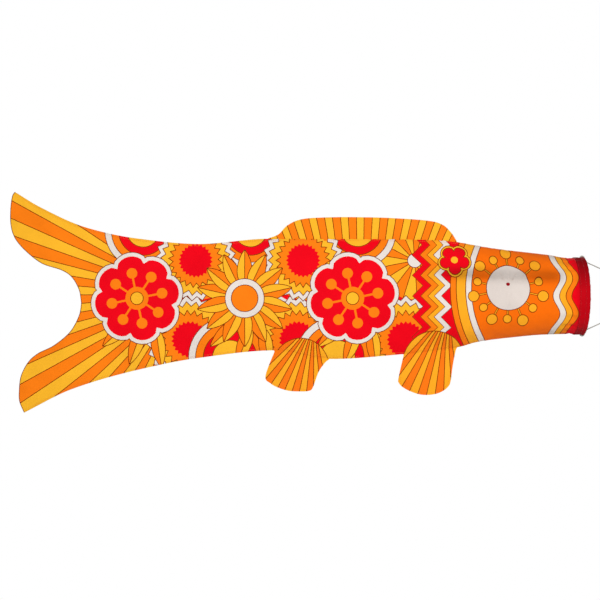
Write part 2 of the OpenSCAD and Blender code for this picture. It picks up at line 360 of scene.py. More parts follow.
# ---------- bridle ----------

CORD_R = 1.0
CORD_TWIST = 0.0062
CORD_STRANDS = 3
CORD_SIDES = 15
TAIL_R = 0.9 * CORD_R
KNOT_X = -35.25
KNOT_R = 2.8
TIE_X = -179.25
TIE_Z = 61.02
TIE_R = 2.2
TIE_LOOP_R = 3.8
LOOP_X = -29.65
LOOP_R = 2.8
LEG_START = (TIE_X + 2.39, TIE_Z - 1.01)
LEG_END_X = KNOT_X - 2.24
LEG_ROUTE = [(0, 1), (0.2, 0.79), (0.4, 0.585), (0.6, 0.385), (0.8, 0.19), (1, 0.01)]


def leg_path(up):
    """Centre line of a bridle leg, in metres. up is 1 for the upper leg and -1 for the lower."""
    points = [((LEG_START[0] + (LEG_END_X - LEG_START[0]) * along) * MM, 0,
               up * LEG_START[1] * height * MM) for along, height in LEG_ROUTE]
    return spline_through(points, 36)


def bent_ring(centre, radius, steps=64):
    """A ring of cord in the middle plane."""
    return np.array([((centre[0] + radius * math.cos(t)) * MM, 0,
                      (centre[1] + radius * math.sin(t)) * MM)
                     for t in np.linspace(0, 2 * math.pi, steps, endpoint=False)])


def knot_path(centre, size, tilt, steps=110):
    """An overhand knot pulled into a ball: a trefoil, squeezed to the given radius."""
    path = []
    for t in np.linspace(0, 2 * math.pi, steps, endpoint=False):
        x = (math.sin(t) + 2 * math.sin(2 * t)) / 3
        z = (math.cos(t) - 2 * math.cos(2 * t)) / 3
        y = -math.sin(3 * t) * 0.62
        path.append((x * math.cos(tilt) - z * math.sin(tilt), y,
                     x * math.sin(tilt) + z * math.cos(tilt)))
    return (np.array(path) * size + (centre[0], 0, centre[1])) * MM


def cord_object(name, parts, body, *nodes):
    """One piece of cordage made of several runs of cord, which stands for the named CAD nodes."""
    points, faces = [], []
    for path, radius, closed in parts:
        more, quads = laid_cord(path, radius * MM, closed)
        faces += [tuple(i + len(points) for i in face) for face in quads]
        points += list(more)
    obj = make_object(name, points, faces, [bridle_cord])
    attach(obj, body)
    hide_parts(*nodes)
    return obj


def knot_tail(start, direction, length):
    """The cut end of a cord that stands a little out of its knot."""
    start, direction = np.array(start, dtype=float), np.array(direction, dtype=float)
    side = np.array((0, 1, 0))
    return [(start + direction * length * t + side * 0.5 * math.sin(2.4 * t)) * MM
            for t in np.linspace(0, 1, 14)]


bridle_knot = cord_object(
    "bridle_knot_cord",
    [(bent_ring((LOOP_X, 0), LOOP_R), CORD_R, True),
     (knot_path((KNOT_X, 0), KNOT_R - CORD_R, tilt=0.4), CORD_R, True),
     (knot_tail(start=(KNOT_X - 0.6, 1.0, 0.4), direction=(-0.55, 0.75, 0.3), length=6.5),
      TAIL_R, False)],
    "bridle", "bridle_knot")
for level, up in (("upper", 1), ("lower", -1)):
    cord_object(
        f"{level}_tie_cord",
        [(bent_ring((HOOP_X / MM, up * HOOP_R), TIE_LOOP_R), CORD_R, True),
         (knot_path((TIE_X, up * TIE_Z), TIE_R - 0.8 * CORD_R, tilt=0.9 * up), CORD_R, True),
         (knot_tail(start=(TIE_X - 0.2, 0.8, up * (TIE_Z - 0.6)), direction=(0.1, 0.8, -0.55 * up),
                    length=7), TAIL_R, False)],
        "head", f"{level}_tie")
    path = leg_path(up)
    leg = make_object(f"bridle_{level}_cord", *laid_cord(path, CORD_R * MM), [bridle_cord])
    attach(leg, "bridle")
    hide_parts(f"bridle_{level}_leg")


# ---------- the tube's shape ----------

class Profile:
    """A smooth curve through rows of (mm behind the hoop, value) that never overshoots a row."""

    def __init__(self, rows):
        self.at, self.value = np.array(rows, dtype=float).T
        self.gap = np.diff(self.at)
        rise = np.diff(self.value) / self.gap
        before, after = rise[:-1], rise[1:]
        same_way = before * after > 0
        sums = np.where(same_way, before + after, 1)
        inner = np.where(same_way, 2 * before * after / sums, 0)
        self.slope = np.concatenate((rise[:1], inner, rise[-1:]))

    def __call__(self, s):
        s = np.clip(s, self.at[0], self.at[-1])
        i = np.clip(np.searchsorted(self.at, s, side="right") - 1, 0, len(self.at) - 2)
        t = (s - self.at[i]) / self.gap[i]
        return ((2 * t ** 3 - 3 * t ** 2 + 1) * self.value[i]
                + (t ** 3 - 2 * t ** 2 + t) * self.gap[i] * self.slope[i]
                + (3 * t ** 2 - 2 * t ** 3) * self.value[i + 1]
                + (t ** 3 - t ** 2) * self.gap[i] * self.slope[i + 1])


back = Profile([(0, 66), (20, 66), (67, 72), (151, 82), (249, 97), (319, 99), (550, 100), (669, 91),
                (781, 101), (865, 119), (949, 156), (992, 182)])
belly = Profile([(0, -66), (20, -66), (67, -67), (123, -72), (179, -79), (221, -90), (319, -102),
                 (439, -110), (537, -95), (669, -108), (781, -130), (893, -163), (976, -204)])
bulge = Profile([(0, 66), (20, 66), (67, 63), (151, 55), (249, 36), (319, 24), (439, 18), (550, 13),
                 (669, 9), (781, 7), (873, 6), (1000, 4)])

FORK = (875, -12)
NECK = 250
UPPER_FORK = [(875, -12), (879, 11), (892, 33), (910, 45), (943, 56), (969, 75), (990, 98),
              (999, 122), (1000, 150), (997, 174), (992, 182)]
LOWER_FORK = [(875, -12), (879, -35), (895, -63), (923, -86), (951, -100), (968, -115),
              (980, -137), (984, -160), (984, -183), (976, -204)]
BACK_FIN = [(549, 101), (531, 108), (515, 124), (487, 135), (427, 138), (347, 137), (272, 132),
            (245, 125), (230, 112), (221, 99)]
REAR_FIN = [(538, -97), (554, -140), (545, -153), (530, -161), (512, -166), (493, -167),
            (478, -166), (471, -160), (461, -133), (450, -117), (444, -112)]
FRONT_FIN = [(312, -103), (321, -143), (320, -153), (310, -162), (292, -170), (277, -173),
             (259, -172), (245, -167), (234, -158), (230, -148), (226, -120), (221, -95)]


# w of the flat cloth at the seam of the back, and -SEAM_W at the belly's
SEAM_W = 100.0


def section(s):
    """Mid height, half height, radius and half angle of the arc that the cloth follows at s."""
    top, low = back(s), belly(s)
    half = (top - low) / 2
    radius = (half ** 2 + bulge(s) ** 2) / (2 * bulge(s))
    return (top + low) / 2, half, radius, 2 * np.arctan(bulge(s) / half)


def flat_from_side(points):
    """Side-view points (s, z) as points (s, w) of the flat cloth."""
    s, z = np.asarray(points, dtype=float).T
    mid, half, radius, full = section(s)
    height = z - mid
    inside = np.arcsin(np.clip(height / radius, -1, 1)) / full
    beyond = np.sign(height) * (1 + (np.abs(height) - half) / SEAM_W)
    share = np.where(np.abs(height) <= half, np.clip(inside, -1, 1), beyond)
    return np.column_stack((s, SEAM_W * share))


def smooth_noise(seed, count):
    """Waves in random directions, for soft creases. Returns rows of (along, across, phase)."""
    random = np.random.default_rng(seed)
    angle = random.uniform(0, 2 * math.pi, count)
    return np.column_stack((np.cos(angle), np.sin(angle), random.uniform(0, 2 * math.pi, count)))


def waves(rows, s, v, length):
    """Sum of the waves at the cloth points (s, v) in mm, from about -1 to 1."""
    total = np.zeros_like(s)
    for i, (along, across, phase) in enumerate(rows):
        k = 2 * math.pi / (length * (0.7 + 0.6 * i / len(rows)))
        total += np.sin(k * (along * s + across * v) + phase)
    return total / math.sqrt(len(rows))


BROAD = smooth_noise(4, 7)
FINE = smooth_noise(9, 9)
SMALL = smooth_noise(16, 9)
FOLD_Z = 33.0
FOLD_LEVEL_S = 140
FOLD_SLOPE = 0.03
FOLD_START = 46
FOLD_DEPTH = 8.5
SEAM_DUST = 0.12
CASING_REACH = 16.0
SWAY = 3.2
SWAY_START = 560


def bell(x, width):
    return np.exp(-(x / width) ** 2)


def gathers(turn):
    """Height of the gathers that the casing makes, at an angle round the hoop."""
    return np.sin(22 * turn) + 0.6 * np.sin(37 * turn + 1.3)


def height_on(s, w):
    """Height in mm of the taut cloth at (s, w)."""
    mid, _, radius, full = section(s)
    return mid + radius * np.sin(w / SEAM_W * full)


def fold_at(s, w):
    """Height above the head's fold in mm, and how strong the fold is there, from 0 to 1."""
    drop = height_on(s, w) - FOLD_Z - (s - FOLD_LEVEL_S) * FOLD_SLOPE
    return drop, 1 / (1 + np.exp(-(s - FOLD_START) / 6)) / (1 + np.exp((s - NECK) / 12))


def fold_shade_and_dust(s, w):
    """The share of its colour that the cloth loses: painted shade in the head's fold, dust along
    the seams, and a darker band just behind the mouth casing.
    """
    _, _, radius, full = section(s)
    drop, reach = fold_at(s, w)
    from_seam = radius * full * (1 - np.abs(w) / SEAM_W)
    # painted shade in the head's fold, stronger beside the eye than on it
    fold_shade = (0.26 + 0.2 * (1 - bell(s - EYE[0], 50))) * reach * bell(drop - 3, 10)
    # dust along the seams, and a darker band just behind the casing
    return fold_shade + SEAM_DUST * bell(from_seam, 3) + 0.2 * bell(s - CASING_REACH, 6)


def relief(s, w, v):
    """How far the slack cloth stands out from the taut tube, in mm: folds, pulls and puckers."""
    edge = np.clip(1 - np.abs(w) / SEAM_W, 0, 1)
    loose = np.clip(edge / 0.12, 0, 1)
    far = np.clip((s - 30) / 120, 0, 1)
    out = loose * far * (2.0 * waves(BROAD, s, v, 150) + 0.6 * waves(FINE, s, v, 46))
    out += 0.14 * loose * waves(SMALL, s, v, 15)
    # gathers behind the mouth casing, which draws the cloth in
    behind = np.clip((s - CASING_REACH - 1) / 8, 0, 1)
    out += behind * (0.9 * gathers(v / HOOP_R) * bell(s - 20, 20) - 2.2 * bell(s - 29, 12))
    # the fold across the head, from behind the mouth to the neck: the upper cloth laps the lower
    drop, reach = fold_at(s, w)
    step = np.clip((drop + 5) / 10, 0, 1)
    out += FOLD_DEPTH * reach * (step * step * (3 - 2 * step) - 0.5) * np.exp(-np.abs(drop) / 18)
    # short pulls that cross the fold
    out += 0.9 * reach * np.sin((s + 0.6 * v) / 8.0 + np.sin(s / 23)) * bell(drop - 2, 20)
    # puckers along the seams of the back and the belly
    out += 0.35 * np.sin(s / 2.1 + 3 * np.sin(s / 37)) * bell(edge * SEAM_W - 2, 7) * far
    return out


def wave_sideways(s):
    """How the wind bends the whole fish sideways, in mm. Both sides move together."""
    return SWAY * np.sin((s - SWAY_START) / 75) * np.clip((s - SWAY_START) / 260, 0, 1)


def tube_points(flat, side, out):
    """Points of the cloth in metres, from flat points (s, w), out mm outside the taut tube."""
    s, w = flat.T
    mid, _, radius, full = section(s)
    angle = w / SEAM_W * full
    room = radius - (radius - bulge(s)) / np.maximum(np.cos(angle), 0.001)
    swell = out + np.maximum(relief(s, w, radius * angle), -0.8 * room)
    y = (radius + swell) * np.cos(angle) - (radius - bulge(s))
    z = mid + (radius + swell) * np.sin(angle)
    return place(np.column_stack((s, side * np.maximum(y, 0.05) + wave_sideways(s), z)))


# ---------- printed shapes ----------

def at(centre, angle, radius):
    """The point at a radius and at an angle in degrees, counted up from the rearward direction."""
    turn = math.radians(angle)
    return centre[0] + radius * math.cos(turn), centre[1] + radius * math.sin(turn)


def disc(centre, radius, flatten=1.0, steps=40):
    return [(centre[0] + radius * math.cos(t), centre[1] + radius * flatten * math.sin(t))
            for t in np.linspace(0, 2 * math.pi, steps, endpoint=False)]


def toothed(centre, tip, valley, teeth, turn=0):
    """A zigzag ring of teeth."""
    step = 180 / teeth
    return [at(centre, turn + i * step, valley if i % 2 else tip) for i in range(2 * teeth)]


def arc(centre, radius, start, end, steps=24):
    return [at(centre, a, radius) for a in np.linspace(start, end, steps)]


def wedge(apex, start, end, radius):
    return [apex, *arc(apex, radius, start, end, 4)]


def grown(outline, by):
    """The outline with every edge moved outward by the distance, with mitred corners."""
    p = anticlockwise(outline)
    edge = np.roll(p, -1, axis=0) - p
    edge /= np.maximum(np.linalg.norm(edge, axis=1), 1e-9)[:, None]
    normal = np.column_stack((edge[:, 1], -edge[:, 0]))
    before = np.roll(normal, 1, axis=0)
    return p + by * mitred(before, normal)


def signed_area(points):
    x, y = np.asarray(points, dtype=float).T
    return float((x * np.roll(y, -1) - np.roll(x, -1) * y).sum() / 2)


def anticlockwise(outline):
    p = np.asarray(outline, dtype=float)
    return p[::-1] if signed_area(p) < 0 else p


def mitred(before, after):
    """How far a corner moves when both edges at it move by 1, from their unit normals."""
    sharp = np.maximum(1 + (before * after).sum(axis=1), 0.45)
    return (before + after) / sharp[:, None]


def ribbon(line, width):
    """The polygon of a band of the width, drawn along a line of points with mitred corners."""
    p = np.asarray(line, dtype=float)
    step = np.diff(p, axis=0)
    step /= np.linalg.norm(step, axis=1)[:, None]
    normal = np.column_stack((-step[:, 1], step[:, 0]))
    push = mitred(np.vstack((normal[:1], normal)), np.vstack((normal, normal[-1:]))) * width / 2
    return np.vstack((p + push, (p - push)[::-1]))


LINE_W = 1.3
EDGE_STEP = 8.0


class Print:
    """A print as coloured polygons in side-view mm, each painted over the ones before it."""

    def __init__(self, outline, color):
        self.outlines = []
        self.colors = []
        self.paint(outline, color)

    def paint(self, outline, color):
        p = anticlockwise(outline)
        fine = []
        for a, b in zip(p, np.roll(p, -1, axis=0)):
            count = max(1, math.ceil(np.linalg.norm(b - a) / EDGE_STEP))
            fine.extend(a + (b - a) * k / count for k in range(count))
        self.outlines.append(np.array(fine))
        self.colors.append(color)

    def outlined(self, outline, color):
        self.paint(grown(outline, LINE_W), LINE)
        self.paint(outline, color)

    def stroke(self, line, width, color):
        self.paint(ribbon(line, width), color)

    def rays(self, apex, angles, radius, colors):
        """Stripes that fan out from a point, with a thin line between each two."""
        for i, (start, end) in enumerate(zip(angles, angles[1:])):
            self.paint(wedge(apex, start, end, radius), colors[i % len(colors)])
        for angle in angles[1:-1]:
            self.stroke([at(apex, angle, 6), at(apex, angle, radius)], LINE_W, LINE)


BODY_SHEET = [(-5, -400), (1100, -400), (1100, 400), (-5, 400)]
STEM_W = 3.6
FLOWER_PITCH = 188.0
FIRST_FLOWER = 402.0


def petals(centre, count, notch, tip, turn=0, steps=8):
    """The outline of a flower with round petals. notch and tip are its least and largest radius."""
    outline = []
    for i in range(count * steps):
        share = i % steps / steps
        outline.append(at(centre, turn + 360 * i / (count * steps),
                          notch + (tip - notch) * math.sin(math.pi * share) ** 0.55))
    return outline


def poppy(art, centre, size, turn=0):
    """A flower seen from the front: scalloped petals in a white edge, with a ring of stamens."""
    outline = petals(centre, 8, 0.83 * size, size, turn)
    art.outlined(grown(outline, 6.5), WHITE)
    art.paint(outline, RED)
    for i in range(8):
        bud = at(centre, turn + 45 * i + 22.5, 0.6 * size)
        art.stroke([centre, bud], STEM_W, ORANGE)
        art.paint(disc(bud, 0.125 * size), ORANGE)
    art.paint(disc(centre, 0.27 * size), ORANGE)
    art.outlined(disc(centre, 0.14 * size), AMBER)


def sun(art, centre, size, turn=0):
    """Zigzag rings inside each other."""
    for share, teeth, color in ((1, 24, WHITE), (0.86, 24, AMBER), (0.66, 24, ORANGE)):
        art.outlined(toothed(centre, share * size, (share - 0.11) * size, teeth, turn), color)
    art.paint(toothed(centre, 0.43 * size, 0.375 * size, 24, turn), RED)


def leaf(art, base, angle, start, length, width, colors=(ORANGE, AMBER)):
    """A pointed petal in two tones, with a line down its middle."""
    along = np.linspace(0, 1, 9)
    half = width / 2 * np.sin(np.pi * (0.14 + 0.86 * along ** 0.9)) ** 0.8
    half[-1] = 0
    turn = math.radians(angle)
    ahead = np.array((math.cos(turn), math.sin(turn)))
    aside = np.array((-ahead[1], ahead[0]))
    middle = np.array(base) + ahead * (start + along[:, None] * length)
    one = middle + aside * half[:, None]
    other = middle - aside * half[:, None]
    art.outlined(np.vstack((one, other[::-1])), colors[0])
    art.paint(np.vstack((middle, other[::-1])), colors[1])
    art.stroke(middle[1:], LINE_W, LINE)


def daisy(art, centre, size):
    """Pointed petals round a white ring."""
    for i in range(14):
        leaf(art, centre, (i + 0.5) * 360 / 14, 0.3 * size, 0.7 * size, 0.3 * size)
    art.outlined(disc(centre, 0.4 * size), WHITE)
    art.outlined(disc(centre, 0.27 * size), ORANGE)


def rainbow(art, centre, size):
    """Rings inside each other, from the outermost."""
    for share, color in ((1, WHITE), (0.83, ORANGE), (0.64, RED), (0.42, AMBER)):
        art.outlined(disc(centre, share * size, steps=48), color)


def sunburst(art, centre, size, turn=0):
    """Rays in two tones that open from a point, inside a red rim."""
    art.outlined(disc(centre, size, steps=56), WHITE)
    art.paint(disc(centre, size - 7, steps=56), RED)
    rim = arc(centre, size - 15, turn, turn + 360, 19)
    for i, (a, b) in enumerate(zip(rim, rim[1:])):
        art.paint([centre, a, b], AMBER if i % 2 else ORANGE)
    for point in rim[:-1]:
        art.stroke([centre, point], LINE_W, LINE)
    art.outlined(disc(centre, 0.14 * size), WHITE)


ZIGZAG_PITCH = 36.0
ZIGZAG_DEPTH = 18.0


def zigzag_area(rear_edge):
    """Everything in front of a zigzag line down the fish, whose rear corners are at rear_edge."""
    line = []
    for i in range(-7, 8):
        line.append((rear_edge - (ZIGZAG_DEPTH if i % 2 else 0), i * ZIGZAG_PITCH / 2))
    return [(-5, line[0][1]), *line, (-5, line[-1][1])]


EYE = (136.6, 13)
EYE_R = 36.0
GILL_CENTRE = (52, 10)
BLOSSOM = (226, 62)
TAIL_ROOT = (698, 2)


def eye(art):
    """The round white eye, with an even wreath of buds on stems."""
    for i in range(14):
        angle = (i + 0.5) * 360 / 14
        reach, size = (60, 8.6) if i % 2 else (53, 6.4)
        bud = at(EYE, angle, reach)
        art.stroke([EYE, bud], STEM_W, LINE)
        art.stroke([EYE, bud], 1.4, HEAD_AMBER)
        art.outlined(disc(bud, size), HEAD_AMBER)
    art.outlined(disc(EYE, EYE_R, 1.05), EYE_WHITE)
    art.paint(disc((EYE[0], EYE[1] + 8), 3.2), PUPIL)


def mouth_waves(art):
    """Even wavy bands that follow the mouth."""
    heights = np.linspace(-110, 110, 61)
    crest = 49 + 6.5 * np.cos(math.pi * heights / 32)

    def area(shift):
        line = np.column_stack((crest + shift, heights))
        return [(-5, -110), *line, (-5, 110)]

    for shift, color in ((6, WHITE), (-5, HEAD_AMBER), (-16, ORANGE), (-26, RED)):
        art.paint(area(shift + LINE_W / 2), LINE)
        art.paint(area(shift - LINE_W / 2), color)


def clipped(outline, fence):
    """The part of an outline inside a convex fence. Both are lists of points."""
    fence = anticlockwise(fence)
    kept = [np.asarray(point, dtype=float) for point in outline]
    for a, b in zip(fence, np.roll(fence, -1, axis=0)):
        inward = np.array((a[1] - b[1], b[0] - a[0]))
        depths = [float((point - a) @ inward) for point in kept]
        inside = []
        for i, (point, depth) in enumerate(zip(kept, depths)):
            before, depth_before = kept[i - 1], depths[i - 1]
            if (depth >= 0) != (depth_before >= 0):
                inside.append(before + (point - before) * depth_before / (depth_before - depth))
            if depth >= 0:
                inside.append(point)
        kept = inside
        if len(kept) < 3:
            return None
    return np.array(kept)


class FinFan:
    """Stripes that fan out down a fin, under a round top that lies on the body."""

    STEP = 5.7

    def __init__(self, apex, first, count, cap, cap_radius, colors):
        self.apex = apex
        self.angles = [-90 + first - self.STEP * i for i in range(count)]
        self.colors = colors
        self.fence = [*arc(cap, cap_radius, 0, 180, 30), (cap[0] - cap_radius, -400),
                      (cap[0] + cap_radius, -400)]

    def draw(self, art, fence=None):
        fence = self.fence if fence is None else fence
        art.paint(fence, self.colors[0])
        for i, (start, end) in enumerate(zip(self.angles, [*self.angles[1:], -150])):
            stripe = clipped(wedge(self.apex, start, end, 260), fence)
            if stripe is not None:
                art.paint(stripe, self.colors[(i + 1) % 2])
        for angle in self.angles:
            line = clipped(ribbon([self.apex, at(self.apex, angle, 260)], LINE_W), fence)
            if line is not None:
                art.paint(line, LINE)

    def draw_on_body(self, art):
        art.paint(grown(self.fence, LINE_W), LINE)
        self.draw(art)


FRONT_FAN = FinFan((237, -26), 42, 10, (259, -115), 53.5, (HEAD_AMBER, FIN_ORANGE))
REAR_FAN = FinFan((469, -45), 46, 11, (492, -122), 48, (FIN_ORANGE, HEAD_AMBER))


def draw_body():
    art = Print(BODY_SHEET, ORANGE)
    # the tail's rays, which open from its root
    art.rays(TAIL_ROOT, [-72 + 4.8 * i for i in range(31)], 420, (ORANGE, AMBER))
    # flowers down the fish: a poppy, a daisy and a poppy, in front of bursts of rays
    flowers = [(FIRST_FLOWER + FLOWER_PITCH * i, -4) for i in range(3)]
    between = [(x - FLOWER_PITCH / 2, z) for x, z in flowers]
    for i, (x, z) in enumerate(between):
        sunburst(art, (x - 14, z + 66), 84, 7.5)
        sun(art, (x + 2, z - 72), 76, 5 * i)
    for i, (x, z) in enumerate(flowers):
        rainbow(art, (x - 10, z + 118), 66)
        if i < 2:
            rainbow(art, (x + 26, z - 104), 72)
    for i, (x, z) in enumerate(between[1:]):
        sun(art, (x - 8, z + 66), 70, 5 * i)
    for i, (x, z) in enumerate(flowers):
        for lean in (-42, -70, -98):
            leaf(art, (x - 26, z - 6), lean, 52, 64, 23)
        if i == 1:
            daisy(art, (x, z), 84)
        else:
            poppy(art, (x, z), 74, 11)
    # the neck's zigzags, the gill and the head
    for edge, color in ((298, RED), (284, ORANGE), (272, HEAD_AMBER), (261, WHITE), (249, RED)):
        art.paint(zigzag_area(edge + LINE_W), LINE)
        art.paint(zigzag_area(edge), color)
    for radius, color in ((182, ORANGE), (172, HEAD_AMBER), (156, WHITE), (146, HEAD_ORANGE)):
        art.paint(disc(GILL_CENTRE, radius + LINE_W, steps=80), LINE)
        art.paint(disc(GILL_CENTRE, radius, steps=80), color)
    blossom = petals(BLOSSOM, 5, 15, 25, 18)
    art.outlined(grown(blossom, 3.5), AMBER)
    art.outlined(blossom, RED)
    art.paint(disc(BLOSSOM, 6), AMBER)
    eye(art)
    mouth_waves(art)
    # painted shade: a dark line along the fork's hemmed edges
    for fork in (UPPER_FORK, LOWER_FORK):
        art.stroke(spline_through(fork, 7), 2.4, LINE)
    FRONT_FAN.draw_on_body(art)
    REAR_FAN.draw_on_body(art)
    return art


# ---------- cloth pieces ----------

CLOTH_T = 0.35
LIE = 0.45
STITCH_W = 0.42
STITCH_LIFT = 0.3
SEAM_INSET = 3.5
GRID = 5.0
HEAD_GRID = 3.0


def triangulate(art, keep, cuts, to_flat, grid_points):
    """The print as flat triangles: points, corner indices and the colour of each triangle.

    keep is the outline of the cloth and cuts are lines along which pieces part.
    """
    points, faces, edges = [], [], []

    def add(outline):
        start = len(points)
        points.extend(Vector(p) for p in outline)
        return list(range(start, len(points)))

    for outline in (keep, *map(to_flat, art.outlines)):
        faces.append(add(anticlockwise(outline)))
    for cut in cuts:
        ids = add(cut)
        edges.extend(zip(ids, ids[1:]))
    add(grid_points)
    result = delaunay_2d_cdt(points, edges, faces, 1, 1e-4, True)
    flat = np.array([tuple(p) for p in result[0]])
    corners, colors = [], []
    for triangle, sources in zip(result[2], result[5]):
        if sources and min(sources) == 0:
            corners.append(tuple(triangle))
            top = max(sources)
            colors.append(art.colors[top - 1] if top else art.colors[0])
    return flat, np.array(corners), np.array(colors)


def rim_edges(corners):
    """Edges that only one triangle has, in that triangle's direction, with the triangle's row."""
    seen = {}
    for row, (a, b, c) in enumerate(corners):
        for edge in ((a, b), (b, c), (c, a)):
            seen[edge] = row
    return [(a, b, row) for (a, b), row in seen.items() if (b, a) not in seen]


def stitch(start, end, out):
    """A short raised stitch between two points, out being the way the cloth faces there."""
    ahead = (end - start) / np.linalg.norm(end - start)
    aside = np.cross(out, ahead)
    rings = []
    for share, size in ((0, 0.35), (0.25, 1), (0.75, 1), (1, 0.35)):
        centre = start + (end - start) * share + out * STITCH_LIFT * MM * (size - 0.5)
        for turn in range(0, 360, 72):
            t = math.radians(turn)
            rings.append(centre + STITCH_W * MM / 2 * size
                         * (math.cos(t) * aside + math.sin(t) * out))
    return rings, tube_faces(4, 5)


def add_stitches(points, faces, rows, pitch=3.4, length=2.5):
    """Adds rows of stitches to a mesh's points and faces.

    A row is a line of points in metres, and the way the cloth faces at each of them.
    """
    for line, outs in rows:
        run = run_along(line) / MM

        def between(rows_of_three, distance):
            return np.array([np.interp(distance, run, rows_of_three[:, k]) for k in range(3)])

        for i in range(int((run[-1] - length) / pitch)):
            out = between(outs, i * pitch)
            rings, quads = stitch(between(line, i * pitch), between(line, i * pitch + length),
                                  out / np.linalg.norm(out))
            faces += [tuple(k + len(points) for k in quad) for quad in quads]
            points += rings


def build_cloth(name, corners, colors, outer, inner, uv, shade_and_dust, side, seams):
    """A closed sheet of cloth from its outer and inner points, with its rows of stitches."""
    used, compact = np.unique(corners, return_inverse=True)
    tris = compact.reshape(corners.shape)
    if side == RIGHT:
        tris = tris[:, ::-1]
    count = len(used)
    faces = [tuple(t) for t in tris] + [tuple(t[::-1] + count) for t in tris]
    face_colors = [*colors, *(0.55 * colors + 0.45 * np.array(REVERSE))]
    for a, b, row in rim_edges(tris):
        faces.append((b, a, a + count, b + count))
        face_colors.append(colors[row])
    corner_colors = [color for face, color in zip(faces, face_colors) for _ in face]
    cloth_faces = len(faces)
    points = [*outer[used], *inner[used]]
    add_stitches(points, faces, seams)
    obj = make_object(name, points, faces, [print_cloth, seam_thread], cloth_faces)
    at_corner = corner_points(obj)
    threads = len(points) - 2 * count
    corner_colors += [ORANGE] * (len(at_corner) - len(corner_colors))
    # each corner keeps the print's colour less the painted fold shade and the seam dust
    tone_kept = 1 - np.concatenate((shade_and_dust[used], shade_and_dust[used], np.zeros(threads)))
    set_colors(obj, np.array(corner_colors) * tone_kept[at_corner][:, None])
    set_cloth_uv(obj, np.vstack((uv[used], uv[used], np.zeros((threads, 2))))[at_corner])
    obj.data.set_sharp_from_angle(angle=math.radians(55))
    return obj


BODY_START = 6.5
BODY_END = 1000
NECK_CUT = 390
STALK_CUT = 670
TAIL_CUT = 830
BACK = 1
BELLY = -1
BOTH = (BACK, BELLY)
SEAM_START = 22
SEAM_ENDS = {BACK: 985, BELLY: 968}


def body_keep():
    """The outline of one side of the fish's cloth, on the flat."""
    top = [(s, SEAM_W) for s in np.arange(BODY_START, UPPER_FORK[-1][0], 8)]
    low = [(s, -SEAM_W) for s in np.arange(BODY_START, LOWER_FORK[-1][0], 8)]
    upper, lower = (flat_from_side(spline_through(fork, 7)) for fork in (UPPER_FORK, LOWER_FORK))
    upper[-1, 1], lower[-1, 1] = SEAM_W, -SEAM_W
    mouth = [(BODY_START, w) for w in np.arange(3 - SEAM_W, SEAM_W, 3)]
    return np.vstack((top, upper[::-1], lower[1:], low[::-1], mouth))


def body_grid():
    """Points all over the cloth, so that it bends smoothly. They are closest on the head."""
    rows = []
    s, shift = BODY_START + 3, 0.25
    while s < BODY_END:
        _, _, radius, full = section(np.array(s))
        gap = HEAD_GRID if s < NECK else GRID
        count = max(10, round(float(2 * radius * full / gap)))
        rows += [(s, -SEAM_W + 2 * SEAM_W * (k + shift) / count) for k in range(count)]
        s, shift = s + gap * 0.87, 1 - shift
    return rows


def to_cloth(flat):
    """Flat-print points to measures on the cloth itself, in metres."""
    s, w = flat.T
    _, _, radius, full = section(s)
    return np.column_stack((s, radius * w / SEAM_W * full)) * MM


def seam_lines(side, seams, first, last):
    """Rows of stitches beside the seams of the back and the belly."""
    rows = []
    for seam in seams:
        s = np.arange(max(first, SEAM_START), min(last, SEAM_ENDS[seam]), 4.0)
        _, _, radius, full = section(s)
        flat = np.column_stack((s, seam * (SEAM_W - SEAM_INSET * SEAM_W / (radius * full))))
        on = tube_points(flat, side, LIE)
        rows.append((on, tube_points(flat, side, LIE + 1) - on))
    return rows


# For each piece of a side: the CAD panels that it stands for, the two bodies that it joins, where
# the bend between them starts and ends, where the piece starts and ends, and the seams it is on
BODY_PIECES = {
    "head_cloth": (["head_panel"], "head", "trunk", 150, 270, 0, NECK_CUT, BOTH),
    "trunk_cloth": (["trunk_panel"], "trunk", "stalk", 500, 630, NECK_CUT, STALK_CUT, BOTH),
    "stalk_cloth": (["stalk_panel"], "stalk", "tail", 720, 820, STALK_CUT, TAIL_CUT, BOTH),
    "upper_tail_cloth": (["tail_panel", "upper_lobe"], "tail", "upper_lobe", 845, 915, TAIL_CUT,
                         BODY_END, (BACK,)),
    "lower_tail_cloth": (["lower_lobe"], "tail", "lower_lobe", 845, 915, TAIL_CUT, BODY_END,
                         (BELLY,)),
}

cuts = [[(s, w) for w in np.linspace(-SEAM_W, SEAM_W, 60)] for s in (NECK_CUT, STALK_CUT, TAIL_CUT)]
cuts.append(flat_from_side([(s, FORK[1]) for s in np.linspace(TAIL_CUT, FORK[0], 12)]))
flat, corners, colors = triangulate(draw_body(), body_keep(), cuts, flat_from_side, body_grid())
middle = flat[corners].mean(axis=1)
above_fork = height_on(*middle.T) > FORK[1]
cloth_uv = to_cloth(flat)
# painted shade in the head's fold, dust along the seams and a darker band behind the casing
shade_and_dust = fold_shade_and_dust(*flat.T)
plies = {side: [tube_points(flat, side, out) for out in (LIE, LIE - CLOTH_T)]
         for side in SIDES.values()}

for name, (panels, body_a, body_b, start, end, first, last, seams) in BODY_PIECES.items():
    inside = (middle[:, 0] > first) & (middle[:, 0] < last)
    if seams == (BACK,):
        inside &= above_fork
    if seams == (BELLY,):
        inside &= ~above_fork
    for side_name, side in SIDES.items():
        piece = build_cloth(f"{name}_{side_name}", corners[inside], colors[inside], *plies[side],
                            cloth_uv, shade_and_dust, side, seam_lines(side, seams, first, last))
        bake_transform(piece)
        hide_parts(*(f"{panel}_{side_name}" for panel in panels))


# ---------- fins ----------

FIN_LIE = 0.62


